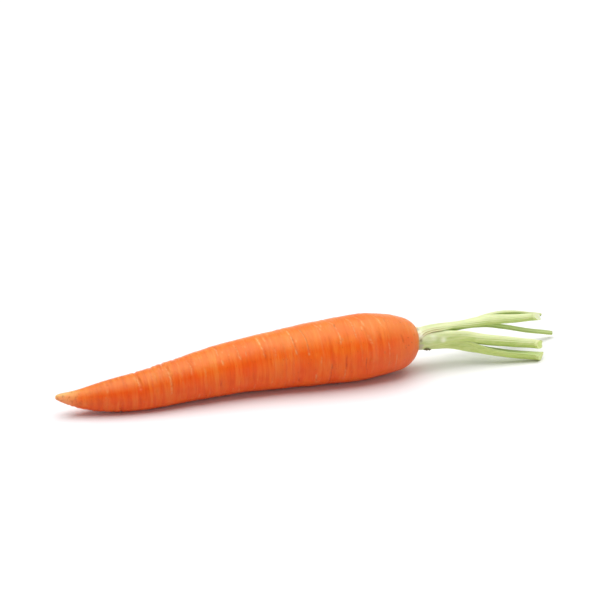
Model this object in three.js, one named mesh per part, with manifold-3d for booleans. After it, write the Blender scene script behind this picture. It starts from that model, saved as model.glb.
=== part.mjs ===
// A fresh carrot, lying on a level surface: a tapering taproot with its crown, and the trimmed
// stubs of its leaf stalks (petioles). Millimetres, +Z up. +X runs from the root's tip to the cut
// stalks. The origin is under the middle of the bounding box, on the surface it lies on.
import * as THREE from 'three';
import { mergeVertices } from 'three/addons/utils/BufferGeometryUtils.js';
import Module from 'manifold-3d';

const wasm = await Module();
wasm.setup();

// ---- driving constants ----
const ROOT_SIDES = 32; // facets round the root
const STALK_SIDES = 14; // facets round a leaf stalk
const CROWN = { x: 57.9, y: -2.0, z: 16.1, r: 5.85 }; // the stem plate the stalks grow from
const SEAT_GAP = 0.35; // clear space between the stem plate and each stalk's base
const FLOOR_CUT = 60; // half-size of the block that trims the underside flat at z = 0

// The taproot: centre of each ring and its radius, from the tip to the crown.
// [x, y, z, r]
const ROOT = [
  [-124.9, -1.02, 9.63, 0.0],
  [-124.6, -1.04, 9.63, 0.75],
  [-123.9, -1.16, 9.64, 1.35],
  [-122.6, -1.40, 9.51, 1.95],
  [-119.0, -1.85, 8.94, 3.06],
  [-115.0, -2.30, 8.33, 4.3],
  [-110.0, -2.83, 8.01, 5.6],
  [-105.0, -3.30, 8.00, 6.67],
  [-100.0, -3.71, 8.16, 7.53],
  [-95.0, -4.03, 8.32, 8.23],
  [-90.0, -4.25, 8.51, 8.79],
  [-84.0, -4.34, 8.77, 9.33],
  [-78.0, -4.22, 9.3, 9.78],
  [-71.0, -3.82, 10.16, 10.25],
  [-63.0, -3.18, 11.07, 10.79],
  [-54.0, -2.43, 11.97, 11.45],
  [-45.0, -1.8, 12.81, 12.19],
  [-36.0, -1.44, 13.52, 12.92],
  [-27.0, -1.38, 14.06, 13.59],
  [-18.0, -1.54, 14.47, 14.2],
  [-9.0, -1.83, 14.81, 14.77],
  [0.0, -2.19, 15.13, 15.32],
  [8.0, -2.5, 15.43, 15.79],
  [16.0, -2.74, 15.79, 16.24],
  [23.0, -2.86, 16.08, 16.48],
  [30.0, -2.86, 16.28, 16.41],
  [36.0, -2.77, 16.32, 15.97],
  [41.0, -2.65, 16.22, 15.41],
  [45.0, -2.54, 16.04, 14.72],
  [49.0, -2.4, 15.85, 13.75],
  [52.0, -2.25, 15.85, 12.5],
  [54.3, -2.15, 15.9, 11.05],
  [56.2, -2.1, 15.95, 9.4],
  [57.5, -2.05, 16.0, 7.9],
  [58.1, -2.0, 16.05, 6.9],
  [58.25, -2.0, 16.1, 6.3],
  [57.9, -2.0, 16.1, 5.85], // foot of the small recess the stalks stand in
  [57.9, -2.0, 16.1, 0.0], // flat stem plate
];
const ROOT_MID_FROM = 3, ROOT_MID_TO = 31; // between these rings an extra ring is added halfway

// The leaf stalks. path: centre line [x, y, z, half-breadth, half-thickness].
// out: the direction the rounded back of the stalk faces at its base and at its cut end, as
// [y, z]; the other side faces the middle of the bunch and has a shallow channel.
// wrap: how far the section curls round the bunch, per mm, at the base and at the cut end.
const STALKS = {
  petiole_upper: {
    out: [[-0.13, 0.99], [-0.72, 0.69]], wrap: [0.085, 0.03], channel: 0.25, color: 0xc3d78c,
    path: [
      [58.25, -2.3, 19.8, 3.75, 1.4], [63.5, -2.25, 20.5, 3.15, 1.4], [69.7, -2.1, 20.75, 2.5, 1.5],
      [81.2, -1.29, 19.98, 2.2, 1.6], [89.2, -0.58, 19.87, 2.5, 1.6], [99.1, 0.27, 20.13, 2.95, 1.6],
      [112.7, 1.44, 18.36, 2.65, 1.55], [124.6, 2.44, 17.32, 2.1, 1.45], [131.2, 3.0, 16.7, 1.85, 1.35],
    ],
  },
  petiole_back: {
    out: [[0.95, -0.3], [0.5, -0.87]], wrap: [0.08, 0.02], channel: 0.2, color: 0xa3bd62,
    path: [
      [58.25, 1.55, 14.8, 1.95, 1.2], [64.5, 1.9, 15.15, 1.65, 1.15], [74.1, 2.9, 15.9, 1.4, 1.15],
      [83.5, 4.05, 16.3, 1.35, 1.15], [91.9, 5.11, 16.06, 1.3, 1.1], [102.8, 6.61, 14.49, 1.3, 1.1],
      [108.9, 7.45, 12.78, 1.3, 1.1], [117.0, 8.53, 10.21, 1.3, 1.1], [123.9, 9.45, 7.9, 1.3, 1.1],
      [130.8, 10.37, 5.81, 1.25, 1.05], [138.4, 11.37, 3.77, 1.2, 1.0], [143.2, 12.0, 2.47, 1.1, 0.95],
    ],
  },
  petiole_middle: {
    out: [[-1.0, -0.02], [-0.93, 0.36]], wrap: [0.085, 0.03], channel: 0.25, color: 0xbcd184,
    path: [
      [58.25, -5.75, 16.0, 1.5, 1.35], [62.0, -5.8, 16.2, 1.55, 1.4], [67.5, -5.8, 16.55, 1.8, 1.5],
      [73.8, -6.0, 16.95, 2.15, 1.6], [80.0, -6.35, 16.6, 2.45, 1.6], [86.7, -6.85, 15.2, 2.65, 1.6],
      [92.1, -7.26, 13.64, 2.8, 1.6], [99.2, -7.78, 12.19, 2.75, 1.6], [111.8, -8.71, 9.71, 2.5, 1.55],
      [123.8, -9.59, 7.67, 2.25, 1.5], [126.7, -9.8, 7.25, 2.2, 1.45],
    ],
  },
  petiole_lower: {
    out: [[-0.3, -0.95], [0.15, -0.99]], wrap: [0.085, 0.04], channel: 0.4, color: 0xb2c978,
    path: [
      [58.25, -3.0, 12.2, 2.7, 1.3], [62.0, -3.05, 12.0, 2.4, 1.35], [66.9, -3.2, 11.86, 2.2, 1.45],
      [73.1, -4.26, 11.7, 2.2, 1.55], [79.8, -5.2, 10.76, 2.3, 1.65], [87.0, -6.3, 9.22, 2.4, 1.75],
      [94.4, -7.4, 7.6, 2.4, 1.8], [104.9, -8.8, 5.2, 2.35, 1.8], [114.3, -10.1, 3.5, 2.25, 1.8],
      [124.4, -11.4, 2.03, 2.15, 1.78], [126.0, -11.6, 1.86, 2.1, 1.75],
    ],
  },
  petiole_inner: {
    out: [[0.8, 0.6], [0.6, 0.8]], wrap: [0.02, 0.02], channel: 0.15, color: 0xb6cc7a,
    path: [
      [58.25, -1.1, 16.7, 1.1, 0.9], [65.0, -0.25, 17.6, 1.1, 0.95], [73.7, 1.6, 18.95, 1.1, 0.95],
      [83.0, 3.0, 19.8, 1.1, 1.0], [91.3, 4.09, 20.02, 1.15, 1.0], [101.0, 5.3, 20.6, 1.15, 1.0],
      [109.8, 6.45, 20.5, 1.15, 1.0], [118.9, 7.59, 18.95, 1.15, 1.0], [125.7, 8.43, 17.3, 1.1, 1.0],
      [134.5, 9.5, 15.02, 1.1, 0.95],
    ],
  },
  dried_leaf_base: {
    out: [[-0.35, -0.94], [-0.35, -0.94]], wrap: [0.1, 0.1], channel: 0.3, color: 0x6e6234, steps: 5, sides: 10,
    path: [
      [58.95, -3.5, 10.0, 1.5, 0.32], [61.5, -3.9, 9.75, 1.7, 0.38], [64.0, -4.3, 9.5, 1.4, 0.36],
      [66.4, -4.7, 9.25, 0.6, 0.28],
    ],
  },
};

// ---- helpers ----
const lerp = (a, b, t) => a + (b - a) * t;

// A smooth table: the row at u, from 0 to rows.length - 1, on a Catmull-Rom curve per column.
function rowAt(rows, u) {
  const i = Math.min(Math.max(Math.floor(u), 0), rows.length - 2);
  const t = u - i;
  const p0 = rows[Math.max(i - 1, 0)], p1 = rows[i], p2 = rows[i + 1], p3 = rows[Math.min(i + 2, rows.length - 1)];
  return p1.map((_, k) => 0.5 * (2 * p1[k] + (p2[k] - p0[k]) * t
    + (2 * p0[k] - 5 * p1[k] + 4 * p2[k] - p3[k]) * t * t
    + (3 * p1[k] - p0[k] - 3 * p2[k] + p3[k]) * t * t * t));
}

// The closed mesh with its shared vertices merged and no face of zero area.
function welded(geometry) {
  const g = geometry.clone();
  g.deleteAttribute('normal');
  g.deleteAttribute('uv');
  const m = mergeVertices(g, 1e-4);
  const idx = m.index.array, keep = [];
  for (let i = 0; i < idx.length; i += 3) {
    const [a, b, c] = [idx[i], idx[i + 1], idx[i + 2]];
    if (a !== b && b !== c && a !== c) keep.push(a, b, c);
  }
  m.setIndex(keep);
  return m;
}

function solid(geometry) {
  const m = welded(geometry);
  return new wasm.Manifold(new wasm.Mesh({
    numProp: 3,
    vertProperties: new Float32Array(m.attributes.position.array),
    triVerts: new Uint32Array(m.index.array),
  }));
}

function geometryOf(manifold) {
  const m = manifold.getMesh();
  const g = new THREE.BufferGeometry();
  g.setAttribute('position', new THREE.BufferAttribute(new Float32Array(m.vertProperties), 3));
  g.setIndex(new THREE.BufferAttribute(new Uint32Array(m.triVerts), 1));
  g.computeVertexNormals();
  return g;
}

// ---- the taproot: a turned profile bent along the root's own gentle curve ----
function taprootGeometry() {
  const rings = [];
  ROOT.forEach((row, i) => {
    rings.push(row);
    if (i >= ROOT_MID_FROM && i < ROOT_MID_TO) rings.push(rowAt(ROOT, i + 0.5));
  });
  const g = new THREE.LatheGeometry(rings.map((row, i) => new THREE.Vector2(row[3], i)), ROOT_SIDES);
  const pos = g.attributes.position;
  const frames = rings.map((row, i) => {
    // the ring stands square to the centre line, and the crown's rings stand square to X
    const a = rings[Math.max(i - 1, 0)], b = rings[Math.min(i + 1, rings.length - 1)];
    const t = new THREE.Vector3(b[0] - a[0], b[1] - a[1], b[2] - a[2]);
    if (i < 4 || row[0] > 52 || t.x <= 0) t.set(1, 0, 0);
    t.normalize();
    const up = new THREE.Vector3(0, 0, 1).addScaledVector(t, -t.z).normalize();
    return { c: new THREE.Vector3(row[0], row[1], row[2]), up, side: new THREE.Vector3().crossVectors(up, t) };
  });
  const v = new THREE.Vector3();
  for (let k = 0; k < pos.count; k++) {
    const f = frames[Math.round(pos.getY(k))];
    v.copy(f.c).addScaledVector(f.up, pos.getX(k)).addScaledVector(f.side, pos.getZ(k));
    pos.setXYZ(k, v.x, v.y, v.z);
  }
  // a soft root bears on a small flat: everything under z = 0 is taken off
  const block = new THREE.BoxGeometry(8 * FLOOR_CUT, FLOOR_CUT, FLOOR_CUT).translate(0, 0, -FLOOR_CUT / 2);
  return geometryOf(solid(g).subtract(solid(block)));
}

// ---- a leaf stalk: a channelled section carried along its centre line ----
function stalkGeometry({ path, out, wrap, channel, steps = 16, sides = STALK_SIDES }) {
  const g = new THREE.CylinderGeometry(1, 1, 1, sides, steps);
  const pos = g.attributes.position;
  const last = path.length - 1;
  const p = new THREE.Vector3(), d = new THREE.Vector3(), o = new THREE.Vector3(), w = new THREE.Vector3();
  for (let k = 0; k < pos.count; k++) {
    const s = pos.getY(k) + 0.5, u = s * last;
    const row = rowAt(path, u);
    const before = rowAt(path, Math.max(u - 0.05, 0)), after = rowAt(path, Math.min(u + 0.05, last));
    d.set(after[0] - before[0], after[1] - before[1], after[2] - before[2]).normalize();
    if (s < 1e-6) d.set(1, 0, 0); // the base sits flat against the stem plate
    o.set(0, lerp(out[0][0], out[1][0], s), lerp(out[0][1], out[1][1], s));
    o.addScaledVector(d, -o.dot(d)).normalize();
    w.crossVectors(d, o);
    const cw = pos.getX(k), co = pos.getZ(k);
    const across = row[3] * cw;
    let thick = row[4] * co;
    if (co < 0) thick *= 1 - channel * Math.exp(-((cw / 0.5) ** 2)) * Math.min(1, s * 6);
    thick -= lerp(wrap[0], wrap[1], s) * across * across;
    p.set(row[0], row[1], row[2]).addScaledVector(w, across).addScaledVector(o, thick);
    pos.setXYZ(k, p.x, p.y, p.z);
  }
  const m = welded(g);
  m.computeVertexNormals();
  return m;
}

// ---- the assembly ----
const group = new THREE.Group();

const taproot = new THREE.Mesh(taprootGeometry(), new THREE.MeshStandardMaterial({ color: 0xe8702a, roughness: 0.5, metalness: 0 }));
taproot.name = 'taproot';
group.add(taproot);

for (const [name, stalk] of Object.entries(STALKS)) {
  const mesh = new THREE.Mesh(stalkGeometry(stalk), new THREE.MeshStandardMaterial({
    color: stalk.color, roughness: name === 'dried_leaf_base' ? 0.85 : 0.55, metalness: 0,
  }));
  mesh.name = name;
  group.add(mesh);
}

// origin under the middle of the bounding box, on the surface
group.updateMatrixWorld(true);
const box = new THREE.Box3().setFromObject(group);
group.position.set(-(box.min.x + box.max.x) / 2, -(box.min.y + box.max.y) / 2, -box.min.z);

export default group;
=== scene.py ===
"""A fresh carrot with trimmed leaf stalks, lying on a pale surface: the looks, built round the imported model."""

import math

import bpy
import numpy as np
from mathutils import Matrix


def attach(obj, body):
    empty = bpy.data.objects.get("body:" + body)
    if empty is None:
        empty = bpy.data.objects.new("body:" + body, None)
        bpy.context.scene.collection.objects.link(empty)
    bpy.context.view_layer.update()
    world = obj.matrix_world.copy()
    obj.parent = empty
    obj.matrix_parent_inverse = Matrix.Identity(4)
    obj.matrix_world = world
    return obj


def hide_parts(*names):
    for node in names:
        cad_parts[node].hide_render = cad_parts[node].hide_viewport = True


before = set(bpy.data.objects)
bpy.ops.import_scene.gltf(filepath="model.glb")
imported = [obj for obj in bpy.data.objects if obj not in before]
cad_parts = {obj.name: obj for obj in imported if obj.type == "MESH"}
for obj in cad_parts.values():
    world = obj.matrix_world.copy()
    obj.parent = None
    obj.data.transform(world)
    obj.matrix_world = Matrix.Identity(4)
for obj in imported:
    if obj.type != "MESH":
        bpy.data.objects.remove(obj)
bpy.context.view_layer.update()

MM = 0.001
# from the tables' own millimetres to the row frame: the origin is under the middle of the model's box
OX, OY = -9.2672, 2.8706

# ------------------------------------------------------------------------------------------
# small numeric tools
# ------------------------------------------------------------------------------------------


def smooth(a, b, x):
    t = np.clip((np.asarray(x, float) - a) / (b - a), 0.0, 1.0)
    return t * t * (3.0 - 2.0 * t)


def bump(x, w):
    return np.exp(-((x / w) ** 2))


def _hash(ix, iy, iz, seed):
    h = (
        ix.astype(np.uint32) * np.uint32(374761393)
        + iy.astype(np.uint32) * np.uint32(668265263)
        + iz.astype(np.uint32) * np.uint32(2147483647)
        + np.uint32((seed * 974634777 + 12345) & 0xFFFFFFFF)
    )
    h = (h ^ (h >> np.uint32(13))) * np.uint32(1274126177)
    h = (h ^ (h >> np.uint32(15))) * np.uint32(2246822519)
    h = h ^ (h >> np.uint32(16))
    return h.astype(np.float64) / 2147483647.5 - 1.0


def noise(x, y, z, seed=0):
    """Smooth 3-D value noise from -1 to 1."""
    x, y, z = np.broadcast_arrays(
        np.asarray(x, float), np.asarray(y, float), np.asarray(z, float)
    )
    fx, fy, fz = np.floor(x), np.floor(y), np.floor(z)
    ix, iy, iz = (f.astype(np.int64) + 100000 for f in (fx, fy, fz))
    u, v, w = x - fx, y - fy, z - fz
    u, v, w = (t * t * t * (t * (t * 6 - 15) + 10) for t in (u, v, w))
    out = 0.0
    for dx in (0, 1):
        for dy in (0, 1):
            for dz in (0, 1):
                k = (
                    (u if dx else 1 - u)
                    * (v if dy else 1 - v)
                    * (w if dz else 1 - w)
                )
                out = out + k * _hash(ix + dx, iy + dy, iz + dz, seed)
    return out


def fbm(x, y, z, seed=0, octaves=3, gain=0.5):
    out, a, f = 0.0, 1.0, 1.0
    for i in range(octaves):
        out = out + a * noise(x * f, y * f, z * f, seed + 17 * i)
        a *= gain
        f *= 2.03
    return out


def spline(t, values):
    """Natural cubic spline through values at knots t: a function of new places."""
    t, y = np.asarray(t, float), np.asarray(values, float)
    if y.ndim == 1:
        y = y[:, None]
    n = len(t)
    h = np.diff(t)
    a = np.zeros((n, n))
    r = np.zeros((n, y.shape[1]))
    a[0, 0] = a[-1, -1] = 1.0
    for i in range(1, n - 1):
        a[i, i - 1], a[i, i], a[i, i + 1] = h[i - 1], 2 * (h[i - 1] + h[i]), h[i]
        r[i] = 6 * ((y[i + 1] - y[i]) / h[i] - (y[i] - y[i - 1]) / h[i - 1])
    m = np.linalg.solve(a, r)

    def at(q):
        q = np.asarray(q, float)
        k = np.clip(np.searchsorted(t, q, side="right") - 1, 0, n - 2)
        d = (q - t[k])[..., None]
        hk = h[k][..., None]
        return (
            y[k]
            + d * ((y[k + 1] - y[k]) / hk - hk * (2 * m[k] + m[k + 1]) / 6)
            + d**2 * m[k] / 2
            + d**3 * (m[k + 1] - m[k]) / (6 * hk)
        )

    return at


def unit(v):
    return v / np.maximum(np.linalg.norm(v, axis=-1, keepdims=True), 1e-12)


def mesh_object(name, verts_mm, faces, attributes=None, smooth_shade=True):
    """A mesh object from points in the tables' millimetres."""
    v = np.array(verts_mm, float)
    v[:, 0] += OX
    v[:, 1] += OY
    v *= MM
    me = bpy.data.meshes.new(name)
    me.from_pydata(v.tolist(), [], [tuple(int(i) for i in f) for f in faces])
    me.update()
    face = np.zeros(len(me.vertices) * 3, np.float32)
    me.vertices.foreach_get("normal", face)
    # up: how far the surface faces upward, used for the stalks' painted highlight and painted shade
    up = me.attributes.new("up", "FLOAT", "POINT")
    up.data.foreach_set("value", (0.5 + 0.5 * face[2::3]).astype(np.float32))
    for key, values in (attributes or {}).items():
        at = me.attributes.new(key, "FLOAT", "POINT")
        at.data.foreach_set("value", np.asarray(values, np.float32).ravel())
    if smooth_shade:
        me.polygons.foreach_set("use_smooth", np.ones(len(me.polygons), bool))
    me.validate()
    ob = bpy.data.objects.new(name, me)
    bpy.context.scene.collection.objects.link(ob)
    return ob


def grid_faces(rows, cols, start=0, flip=False):
    """Quads of a tube grid that closes round its columns."""
    i = np.arange(rows - 1)[:, None]
    j = np.arange(cols)[None, :]
    a = start + i * cols + j
    b = start + i * cols + (j + 1) % cols
    c, d = b + cols, a + cols
    q = np.stack([a, b, c, d], -1).reshape(-1, 4)
    return q[:, ::-1] if flip else q


# ------------------------------------------------------------------------------------------
# the taproot
# ------------------------------------------------------------------------------------------

# centre of each ring and its radius, from the tip to the crown: x, y, z, r
ROOT = np.array(
    [
        [-124.9, -1.02, 9.63, 0.0],
        [-124.6, -1.04, 9.63, 0.75],
        [-123.9, -1.16, 9.64, 1.35],
        [-122.6, -1.40, 9.51, 1.95],
        [-119.0, -1.85, 8.94, 3.06],
        [-115.0, -2.30, 8.33, 4.3],
        [-110.0, -2.83, 8.01, 5.6],
        [-105.0, -3.30, 8.00, 6.67],
        [-100.0, -3.71, 8.16, 7.53],
        [-95.0, -4.03, 8.32, 8.23],
        [-90.0, -4.25, 8.51, 8.79],
        [-84.0, -4.34, 8.77, 9.33],
        [-78.0, -4.22, 9.3, 9.78],
        [-71.0, -3.82, 10.16, 10.25],
        [-63.0, -3.18, 11.07, 10.79],
        [-54.0, -2.43, 11.97, 11.45],
        [-45.0, -1.8, 12.81, 12.19],
        [-36.0, -1.44, 13.52, 12.92],
        [-27.0, -1.38, 14.06, 13.59],
        [-18.0, -1.54, 14.47, 14.2],
        [-9.0, -1.83, 14.81, 14.77],
        [0.0, -2.19, 15.13, 15.32],
        [8.0, -2.5, 15.43, 15.79],
        [16.0, -2.74, 15.79, 16.24],
        [23.0, -2.86, 16.08, 16.48],
        [30.0, -2.86, 16.28, 16.41],
        [36.0, -2.77, 16.32, 15.97],
        [41.0, -2.65, 16.22, 15.41],
        [45.0, -2.54, 16.04, 14.72],
        [49.0, -2.4, 15.85, 13.75],
        [52.0, -2.25, 15.85, 12.5],
        [54.3, -2.15, 15.9, 11.05],
        [56.2, -2.1, 15.95, 9.4],
        [57.5, -2.05, 16.0, 7.9],
        [58.1, -2.0, 16.05, 6.9],
        [58.25, -2.0, 16.1, 6.3],
        [57.9, -2.0, 16.1, 5.85],
        [57.2, -2.0, 16.1, 5.4],
        [56.9, -2.0, 16.1, 4.0],
        [56.8, -2.0, 16.1, 0.0],
    ]
)

ROWS, COLS = 600, 165

# Marks across the skin: points (angle round the root in degrees, x), half-width, depth, pale,
# brown and how much the lips stand up. Angle 0 is on top and 90 is the viewer's side.
LINES = [
    ([(36.6, -100.8), (58.1, -101.2)], 0.35, 0.10, 0.90, 0.00, 0.30),
    ([(32.7, -100.2), (46.7, -100.3), (71.9, -100.5)], 0.30, 0.22, 0.00, 0.80, 0.30),
    ([(14.5, -100.5), (29.0, -100.8)], 0.50, 0.12, 0.00, 0.70, 0.30),
    ([(100.2, -101.7), (115.6, -101.6)], 0.35, 0.10, 0.60, 0.00, 0.30),
    ([(26.1, -92.4), (36.8, -92.1), (49.1, -92.0)], 0.30, 0.18, 0.00, 0.45, 0.40),
    ([(64.4, -91.4), (83.4, -91.8)], 0.30, 0.14, 0.00, 0.40, 0.30),
    ([(16.1, -86.8), (31.0, -86.1), (46.6, -85.7), (64.6, -85.3)], 0.85, 0.55, 1.00, 0.00, 0.35),
    ([(14.2, -85.7), (27.1, -85.3), (38.4, -85.0), (50.0, -84.7)], 0.32, 0.30, 0.00, 1.00, 0.20),
    ([(20.4, -77.6), (32.9, -77.8)], 0.30, 0.12, 0.50, 0.00, 0.40),
    ([(4.8, -75.1), (18.4, -74.9)], 0.30, 0.12, 0.60, 0.00, 0.40),
    ([(4.8, -73.5), (23.3, -73.4)], 0.30, 0.14, 0.70, 0.00, 0.40),
    ([(7.3, -72.2), (29.5, -71.2), (50.7, -70.8), (69.2, -70.8), (92.9, -70.9)], 0.45, 0.38, 0.80, 0.00, 0.60),
    ([(8.2, -71.1), (33.5, -70.5), (54.1, -70.3), (71.6, -70.3)], 0.28, 0.22, 0.00, 0.65, 0.20),
    ([(0.0, -65.8), (21.9, -65.5)], 0.30, 0.12, 0.45, 0.00, 0.40),
    ([(-11.1, -61.6), (9.9, -61.1), (20.2, -60.8), (38.4, -60.1), (54.7, -60.3)], 0.42, 0.32, 0.85, 0.00, 0.60),
    ([(12.1, -59.2), (27.3, -59.1)], 0.35, 0.18, 0.00, 0.60, 0.30),
    ([(-21.5, -47.7), (-1.5, -46.7), (10.4, -45.9), (27.0, -46.2)], 0.35, 0.24, 0.65, 0.00, 0.50),
    ([(42.8, -44.8), (52.7, -44.6)], 0.42, 0.26, 1.00, 0.25, 0.80),
    ([(6.9, -37.3), (22.6, -36.5), (38.8, -36.1), (50.8, -35.9)], 0.40, 0.28, 0.90, 0.15, 0.60),
    ([(12.8, -36.9), (27.4, -36.6)], 0.40, 0.12, 0.00, 0.65, 0.20),
    ([(32.9, -32.5), (43.7, -32.7)], 0.35, 0.20, 0.80, 0.30, 0.50),
    ([(3.4, -25.4), (23.0, -25.0), (40.1, -24.3), (54.0, -24.1)], 0.42, 0.30, 1.00, 0.00, 0.65),
    ([(46.3, -23.9), (61.1, -23.7)], 0.30, 0.18, 0.00, 0.55, 0.30),
    ([(113.9, -37.4), (147.7, -36.2)], 0.35, 0.20, 0.70, 0.00, 0.50),
    ([(114.0, -29.2), (134.8, -29.3)], 0.35, 0.20, 0.60, 0.00, 0.50),
    ([(87.9, -46.9), (102.2, -46.5)], 0.40, 0.20, 0.00, 0.50, 0.30),
    ([(100.4, -51.7), (133.3, -51.6)], 0.35, 0.20, 0.25, 0.30, 0.40),
    ([(3.1, -9.6), (26.9, -9.2), (45.3, -8.8), (60.5, -8.4)], 0.38, 0.30, 0.85, 0.15, 0.55),
    ([(23.2, -9.0), (38.9, -8.9), (46.9, -8.9)], 0.34, 0.12, 0.00, 0.70, 0.20),
    ([(6.1, -3.8), (28.7, -2.8), (49.5, -2.5), (62.5, -2.4)], 0.36, 0.32, 0.45, 0.45, 0.50),
    ([(53.8, -2.4), (64.7, -2.3)], 0.42, 0.20, 1.00, 0.00, 0.60),
    ([(-1.5, 4.2), (9.5, 5.3), (20.6, 6.0)], 0.34, 0.20, 0.80, 0.00, 0.50),
    ([(0.8, 12.3), (18.8, 13.4), (39.6, 14.2), (54.1, 14.1)], 0.36, 0.26, 0.75, 0.00, 0.50),
    ([(12.7, 13.3), (20.3, 13.2)], 0.50, 0.12, 0.00, 0.95, 0.20),
    ([(-2.0, 20.7), (15.4, 22.1), (32.2, 22.3), (46.5, 22.3)], 0.40, 0.30, 0.80, 0.25, 0.55),
    ([(-0.1, 25.6), (13.5, 27.4), (28.9, 27.9)], 0.42, 0.28, 1.00, 0.10, 0.70),
    ([(32.7, 27.3), (52.3, 28.1), (71.7, 28.6), (93.3, 28.6)], 0.70, 0.26, 0.00, 0.00, 0.50),
    ([(3.2, 34.8), (17.6, 36.2), (31.2, 36.8)], 0.40, 0.26, 1.00, 0.00, 0.70),
    ([(12.6, 39.5), (23.9, 38.9)], 0.40, 0.12, 0.00, 0.60, 0.20),
    ([(46.0, 34.6), (60.4, 34.2)], 0.34, 0.24, 0.00, 0.60, 0.40),
    ([(64.6, 38.6), (76.9, 38.8), (92.3, 38.8)], 0.36, 0.24, 0.85, 0.10, 0.55),
    ([(100.7, 38.9), (112.4, 38.6)], 0.36, 0.20, 0.70, 0.00, 0.50),
    ([(52.3, 46.0), (59.9, 46.3), (68.2, 46.7)], 0.50, 0.32, 0.00, 0.95, 0.30),
    ([(77.9, 15.9), (89.6, 15.7), (102.5, 15.7)], 0.36, 0.28, 0.10, 0.95, 0.60),
    ([(103.6, 15.5), (123.5, 15.8)], 0.36, 0.22, 0.80, 0.00, 0.50),
    ([(88.7, 8.6), (108.1, 8.1), (134.6, 8.8)], 0.50, 0.30, 0.30, 0.75, 0.60),
    ([(86.2, 26.1), (99.6, 26.0), (120.7, 27.1)], 0.34, 0.26, 0.25, 0.75, 0.60),
    ([(89.6, 43.0), (101.8, 42.8), (117.6, 43.0)], 0.38, 0.22, 0.80, 0.30, 0.50),
    ([(104.7, 0.9), (128.3, 1.5)], 0.36, 0.20, 0.75, 0.10, 0.50),
    ([(111.4, -7.6), (122.1, -7.3)], 0.50, 0.20, 0.00, 0.65, 0.30),
    ([(43.2, -18.5), (59.6, -18.5)], 0.34, 0.20, 0.50, 0.00, 0.40),
    ([(46.3, 28.6), (56.5, 29.5), (67.3, 30.1)], 0.80, 0.16, 0.45, 0.00, 0.20),
    ([(49.0, -53.6), (73.5, -53.6)], 0.34, 0.16, 0.30, 0.00, 0.40),
    ([(14.8, -79.4), (36.6, -79.4)], 0.30, 0.14, 0.50, 0.00, 0.40),
    ([(72.3, 3.6), (88.9, 3.1)], 0.34, 0.16, 0.40, 0.00, 0.40),
    ([(102.3, -20.8), (126.7, -20.8)], 0.34, 0.18, 0.40, 0.10, 0.40),
    ([(41.8, -65.1), (73.8, -65.1)], 0.34, 0.18, 0.25, 0.00, 0.40),
    ([(2.0, -55.4), (27.4, -54.9)], 0.30, 0.16, 0.45, 0.00, 0.40),
    ([(18.5, -41.1), (36.4, -40.8)], 0.30, 0.16, 0.50, 0.00, 0.40),
]

# Small pits and stains: x, angle, radius, brown.
SPOTS = [
    (-124.2, 49.9, 0.45, 1.00),
    (-121.4, 47.6, 0.60, 1.00),
    (-120.0, 124.7, 0.75, 1.00),
    (-114.0, 94.6, 0.65, 1.00),
    (-107.0, 72.1, 0.40, 0.50),
    (-100.7, 22.1, 0.50, 0.50),
    (-77.8, 73.6, 0.90, 0.40),
    (-59.0, 24.0, 0.45, 0.50),
    (-33.5, 16.5, 0.40, 0.60),
    (-7.5, 116.5, 0.60, 0.40),
    (-117.9, -1.7, 0.40, 0.40),
    (-95.6, 120.5, 0.70, 0.70),
    (-110.0, 44.1, 0.50, 0.30),
    (-53.4, 13.0, 0.35, 0.40),
    (-51.5, 23.3, 0.30, 0.40),
    (-16.0, 21.1, 0.35, 0.40),
    (7.3, 13.7, 0.35, 0.40),
    (49.2, 32.1, 0.40, 0.40),
    (47.3, 22.0, 0.40, 0.35),
    (35.1, 125.9, 0.50, 0.35),
    (12.1, 50.1, 0.30, 0.30),
    (18.9, 110.4, 0.40, 0.40),
]


def root_surface():
    knots = np.concatenate(
        [[0], np.cumsum(np.hypot(np.diff(ROOT[:, 0]), np.diff(ROOT[:, 3])))]
    )
    at = spline(knots, ROOT)
    # rows are closer at the tip and over the shoulder
    q = np.linspace(0, knots[-1], 4000)
    weight = 1.0 + 2.2 * bump(q, 5.0) + 0.9 * bump(q - knots[33], 9.0)
    run = np.concatenate([[0], np.cumsum((weight[1:] + weight[:-1]) / 2 * np.diff(q))])
    t = np.interp(np.linspace(0, run[-1], ROWS), run, q)
    row = at(t)
    row[:, 3] = np.maximum(row[:, 3], 0.0)
    row[0, 3] = row[-1, 3] = 0.0
    c = row[:, :3]
    r = row[:, 3]
    # ring planes: square to the smoothed centre line
    ax = ROOT[3:31]
    line = spline(ax[:, 0], ax[:, 1:3])
    xs = np.clip(c[:, 0], ax[0, 0], ax[-1, 0])
    slope = (line(xs + 1.5) - line(xs - 1.5)) / 3.0
    fade = (1 - smooth(46, 54, c[:, 0])) * smooth(-124.5, -118, c[:, 0])
    tan = unit(
        np.stack([np.ones(ROWS), slope[:, 0] * fade, slope[:, 1] * fade], 1)
    )
    up = unit(np.array([0, 0, 1.0]) - tan[:, 2:3] * tan)
    side = np.cross(up, tan)  # points towards +Y at angle -90
    th = np.linspace(0, 2 * np.pi, COLS, endpoint=False)
    # angle 0 on top, +90 degrees towards -Y
    direction = (
        np.cos(th)[None, :, None] * up[:, None, :]
        - np.sin(th)[None, :, None] * side[:, None, :]
    )
    x = np.repeat(c[:, 0:1], COLS, 1)
    ang = np.repeat(th[None, :], ROWS, 0)
    # the shoulder and tip profile's lean, for the direction the skin faces
    dr = np.gradient(r)
    dx = np.gradient(c[:, 0])
    lean = unit(np.stack([-dr, np.abs(dx) * np.sign(np.where(np.abs(dx) < 1e-6, 1, dx))], 1))
    lean = np.where(lean[:, 1:2] < 0, -lean, lean)
    base = c[:, None, :] + r[:, None, None] * direction
    out = lean[:, 0][:, None, None] * tan[:, None, :] + lean[:, 1][:, None, None] * direction
    out = unit(out)
    return base, out, x, ang, r, direction


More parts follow.
